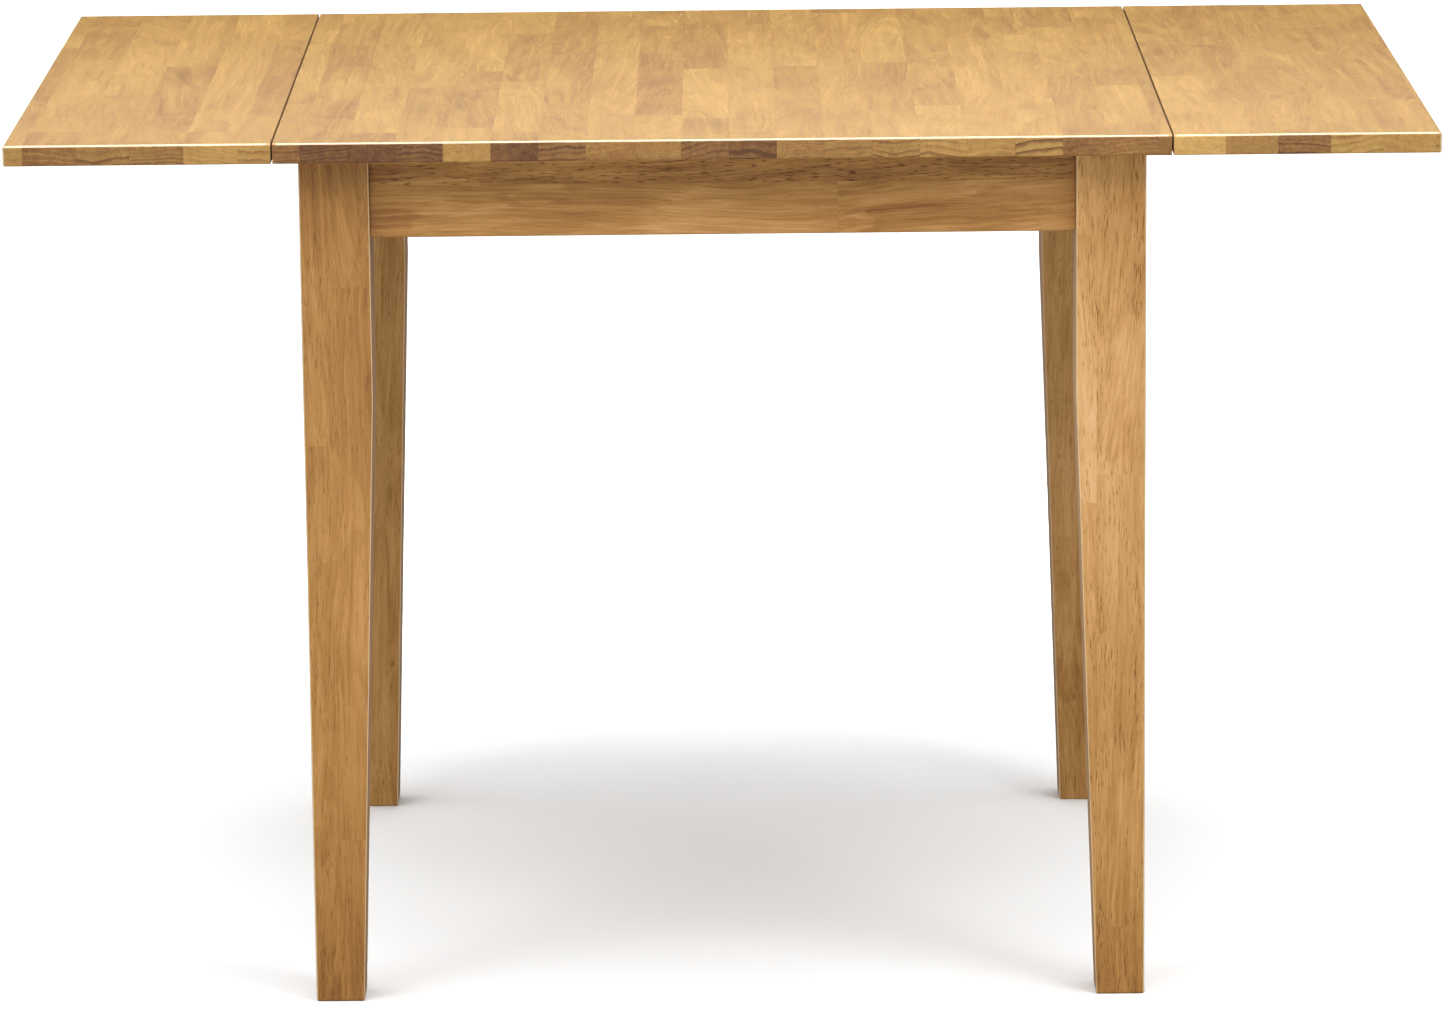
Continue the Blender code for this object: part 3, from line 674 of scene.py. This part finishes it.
def screw_mesh(shank):
    """A screw with a domed, cross-cut head. The underside of the head is at z = 0."""
    turns = [math.pi / 2 * i / DOME_STEPS for i in range(DOME_STEPS)]
    rise = HEAD_HEIGHT - HEAD_RIM
    dome = [(HEAD_RADIUS * math.cos(a), HEAD_RIM + rise * math.sin(a)) for a in turns]
    profile = [(SHANK_RADIUS, -shank), (SHANK_RADIUS, 0.0), (HEAD_RADIUS, 0.0)] + dome
    head = temporary(lathe(profile, SCREW_SIDES), "screw")
    bottom, top = HEAD_HEIGHT - RECESS_DEPTH, HEAD_HEIGHT * 2
    recess = cross_prism(RECESS_LENGTH, RECESS_WIDTH, bottom, top, RECESS_TAPER)
    cutter = temporary(recess, "recess")
    cut = head.modifiers.new("recess", "BOOLEAN")
    cut.operation, cut.solver, cut.object = "DIFFERENCE", "EXACT", cutter
    whole = head.evaluated_get(bpy.context.evaluated_depsgraph_get())
    mesh = bpy.data.meshes.new_from_object(whole)
    for thing in (head, cutter):
        spare = thing.data
        bpy.data.objects.remove(thing)
        bpy.data.meshes.remove(spare)
    return mesh


SCREWS = {depth: screw_mesh(depth) for depth in (HINGE_PLATE_DEPTH, STAY_PLATE_DEPTH, WOOD_DEPTH)}


def screws(name, body, depth, heads):
    """One piece of screws. heads are (place, outward direction) of each."""
    shape = bmesh.new()
    for number, (place, outward) in enumerate(heads):
        start = len(shape.verts)
        shape.from_mesh(SCREWS[depth])
        shape.verts.ensure_lookup_table()
        lean = Vector(outward).to_track_quat("Z", "Y").to_matrix().to_4x4()
        spin = Matrix.Rotation(number * SCREW_SPIN + len(name) * NAME_SPIN, 4, "Z")
        moved = Matrix.Translation(place) @ lean @ spin
        bmesh.ops.transform(shape, matrix=moved, verts=shape.verts[start:])
    mesh = bpy.data.meshes.new(name)
    shape.to_mesh(mesh)
    shape.free()
    finished(name, mesh, body, SCREW_STEEL, "bolt_steel")


# Where the screws' heads rest: on the faces of the steel plates, at their holes, and on the blocks
HINGE_YS = (-0.262, 0.0, 0.262)
HINGE_PLATE_FACE = 0.7417
HINGE_HOLES = ((0.013, -0.017), (0.022, 0.0), (0.013, 0.017))
STAY_YS = (-0.110, 0.110)
APRON_PLATE_FACE, APRON_PLATE_HOLE_Z, APRON_PLATE_HOLE_YS = 0.3538, 0.714, (-0.009, -0.020)
LEAF_PLATE_FACE, LEAF_PLATE_HOLE_XS, LEAF_PLATE_HOLE_Y = 0.7412, (0.46475, 0.48875), 0.024
BLOCK_FACE = (0.29145, 0.28745)  # the middle of a corner block's inner face
BLOCK_SCREW_REACH, BLOCK_SCREW_ZS = 0.040, (0.695, 0.723)
DOWN = (0.0, 0.0, -1.0)

for side, sign in SIDES.items():
    for number, y in enumerate(HINGE_YS, start=1):
        for part, body, way in (("fixed", "frame", -1), ("leaf", f"leaf_{side}", 1)):
            places = [
                (sign * (JOINT_X + way * dx), sign * (y + way * dy), HINGE_PLATE_FACE)
                for dx, dy in HINGE_HOLES
            ]
            heads = [(place, DOWN) for place in places]
            screws(f"hinge_{side}_{number}_{part}_screws", body, HINGE_PLATE_DEPTH, heads)
    for number, y in enumerate(STAY_YS, start=1):
        heads = [
            ((sign * APRON_PLATE_FACE, sign * (y + dy), APRON_PLATE_HOLE_Z), (sign, 0.0, 0.0))
            for dy in APRON_PLATE_HOLE_YS
        ]
        screws(f"stay_{side}_{number}_apron_screws", "frame", STAY_PLATE_DEPTH, heads)
        heads = [
            ((sign * x, sign * (y + LEAF_PLATE_HOLE_Y), LEAF_PLATE_FACE), DOWN)
            for x in LEAF_PLATE_HOLE_XS
        ]
        screws(f"stay_{side}_{number}_leaf_screws", f"leaf_{side}", STAY_PLATE_DEPTH, heads)

for corner, (x_side, y_side) in CORNERS.items():
    inward = Vector((-x_side, -y_side, 0.0)).normalized()
    along = Vector((x_side, -y_side, 0.0)).normalized()
    middle = Vector((x_side * BLOCK_FACE[0], y_side * BLOCK_FACE[1], 0.0))
    heads = [
        (middle + along * reach + Vector((0.0, 0.0, z)), inward)
        for reach in (-BLOCK_SCREW_REACH, BLOCK_SCREW_REACH)
        for z in BLOCK_SCREW_ZS
    ]
    screws(f"corner_block_{corner}_screws", "frame", WOOD_DEPTH, heads)


# Stage ------------------------------------------------------------------------------------------

FLOOR_REACH = 19.0
FLOOR_COLOUR, FLOOR_ROUGHNESS = (0.755, 0.763, 0.771), 0.9
MOTTLE_REPEATS, MOTTLE_DETAIL, MOTTLE_SHADE = 3.0, 3.0, 0.985
FLOOR_LIT = bpy.data.collections.new("floor_lit")  # all that the floor's own lights fall on


def floor_paint():
    g = Graph(bpy.data.materials.new("floor_paint"))
    x, y, _ = g.parts(g.out(g.node("TexCoord"), "Object"))
    mottle = g.noise(g.vector(x * MOTTLE_REPEATS, y * MOTTLE_REPEATS, 0.0), MOTTLE_DETAIL)
    shaded = tuple(channel * MOTTLE_SHADE for channel in FLOOR_COLOUR)
    return g.finish(
        Base_Color=g.mixed(mottle, shaded, FLOOR_COLOUR),
        Roughness=FLOOR_ROUGHNESS,
        Specular_IOR_Level=0.0,
    )


def make_floor():
    r = FLOOR_REACH
    mesh = bpy.data.meshes.new("floor")
    corners = [(-r, -r, 0), (r, -r, 0), (r, r, 0), (-r, r, 0)]
    mesh.from_pydata(corners, [], [(0, 1, 2, 3)])
    mesh.materials.append(floor_paint())
    floor = bpy.data.objects.new("floor", mesh)
    # The world's lower half lights the table in the floor's place
    floor.visible_diffuse = floor.visible_glossy = False
    bpy.context.scene.collection.objects.link(floor)
    FLOOR_LIT.objects.link(floor)


# How bright the world is, from straight down, 0, through level, 0.5, to straight up, 1: as it
# lights a matt surface, and as a gloss shows it
SKY = [(0.0, 0.64), (0.5, 0.64), (0.51, 0.07), (0.62, 0.10), (0.75, 0.73), (1.0, 0.93)]
GLOSS_SKY = [(0.0, 0.22), (0.5, 0.22), (0.51, 0.05), (0.62, 0.05), (0.75, 0.28), (1.0, 0.32)]
WHITE = (1.0, 1.0, 1.0)


def make_world():
    """A bright ceiling, dimmer walls and a pale floor, which the camera sees as plain white."""
    world = bpy.data.worlds.new("studio")
    bpy.context.scene.world = world
    g = Graph(world)
    up = g.parts(g.out(g.node("TexCoord"), "Generated"))[2]
    height = g.out(g.node("Math", {0: up, 1: 0.5, 2: 0.5}, operation="MULTIPLY_ADD"), 0)
    ray = g.node("LightPath")

    def sky(levels):
        return g.ramp(height, [(place, (level, level, level)) for place, level in levels])

    light = g.mixed(g.out(ray, "Is Glossy Ray"), sky(SKY), sky(GLOSS_SKY))
    light = g.mixed(g.out(ray, "Is Camera Ray"), light, WHITE)
    g.put(g.tree.nodes["Background"].inputs["Color"], light)


def soft_light(
    name, place, target, size, power, diffuse=True, glossy=True, spread=180.0, floor_only=False
):
    """A flat light of a size, in metres, and a power, in watts, that shines towards target."""
    light = bpy.data.lights.new(name, "AREA")
    light.shape, light.size, light.size_y = "RECTANGLE", *size
    light.energy, light.spread = power, math.radians(spread)
    lamp = bpy.data.objects.new(name, light)
    lamp.location = place
    lamp.rotation_euler = (Vector(target) - Vector(place)).to_track_quat("-Z", "Y").to_euler()
    lamp.visible_camera = False
    lamp.visible_diffuse, lamp.visible_glossy = diffuse, glossy
    if floor_only:
        lamp.light_linking.receiver_collection = FLOOR_LIT
    bpy.context.scene.collection.objects.link(lamp)


TOP_EDGE = (0, -0.38, 0.76)
# Each light's place, target, size, power and other settings. floor_wash is for the floor behind.
LIGHTS = {
    "overhead": ((0, -0.5, 2.9), (0, -0.2, 0.7), (1.6, 1.2), 39, {}),
    "strip": ((0, -1.35, 0.40), (0, -0.357, 0.40), (1.8, 0.25), 4.6, dict(glossy=False)),
    "key_left": ((-1.9, -1.9, 3.0), (0, 0, 0.2), (1.2, 1.2), 29, {}),
    "key_right": ((1.9, -1.9, 3.0), (0, 0, 0.2), (1.2, 1.2), 31, {}),
    "top_gloss": ((0, 0.9, 1.2), TOP_EDGE, (2.6, 0.3), 0.18, dict(diffuse=False, spread=42)),
    "edge_gloss": ((0, -1.2, 3.0), TOP_EDGE, (3.0, 2.6), 400, dict(diffuse=False)),
    "floor_wash": ((0, 6.5, 3.5), (0, 6.5, 0), (20, 5), 330, dict(glossy=False)),
}

# The place and size of each light that shines down close beside the table
WASHES = {
    "wash_left": ((-1.45, -0.2, 1.2), (0.4, 2.0)),
    "wash_right": ((1.45, -0.2, 1.2), (0.4, 2.0)),
    "wash_back": ((0, 1.55, 1.2), (2.0, 0.4)),
}
WASH_POWER, WASH_SPREAD = 12.5, 110

# Far out on each side, a light shines down on the floor alone, so that it is white from every side
OUTWARD = {"left": (-1, 0), "right": (1, 0), "front": (0, -1), "back": (0, 1)}
FAR_REACH, FAR_HEIGHT, FAR_WIDTH, FAR_LENGTH = 12, 4, 18, 42
FAR_POWER, FAR_SPREAD = 1700, 90


def below(place):
    return (place[0], place[1], 0)


def make_lights():
    for name, (place, target, size, power, looks) in LIGHTS.items():
        soft_light(name, place, target, size, power, **looks)
    for name, (place, size) in WASHES.items():
        soft_light(name, place, below(place), size, WASH_POWER, glossy=False, spread=WASH_SPREAD)
    for side, (x, y) in OUTWARD.items():
        place = (FAR_REACH * x, FAR_REACH * y, FAR_HEIGHT)
        size = (FAR_WIDTH, FAR_LENGTH) if x else (FAR_LENGTH, FAR_WIDTH)
        looks = dict(spread=FAR_SPREAD, floor_only=True)
        soft_light(f"floor_{side}", place, below(place), size, FAR_POWER, **looks)


LENS, SENSOR = 176.6, 36.0  # in millimetres
CAMERA_PLACE = (0.0024, -6.3094, 1.7299)
CAMERA_YAW, CAMERA_PITCH, CAMERA_ROLL = 0.00086, -0.214, 0.010  # in radians


def make_camera():
    camera = bpy.data.cameras.new("camera")
    camera.lens, camera.sensor_width = LENS, SENSOR
    view = bpy.data.objects.new("camera", camera)
    turn = (
        Matrix.Rotation(CAMERA_YAW, 4, "Z")
        @ Matrix.Rotation(CAMERA_PITCH, 4, "X")
        @ Matrix.Rotation(CAMERA_ROLL, 4, "Y")
    )
    upright = Matrix.Rotation(math.pi / 2, 4, "X")  # looks along +Y instead of down
    view.matrix_world = Matrix.Translation(CAMERA_PLACE) @ turn @ upright
    bpy.context.scene.collection.objects.link(view)
    bpy.context.scene.camera = view


make_floor()
make_world()
make_lights()
make_camera()
bpy.context.scene.view_settings.view_transform = "Standard"
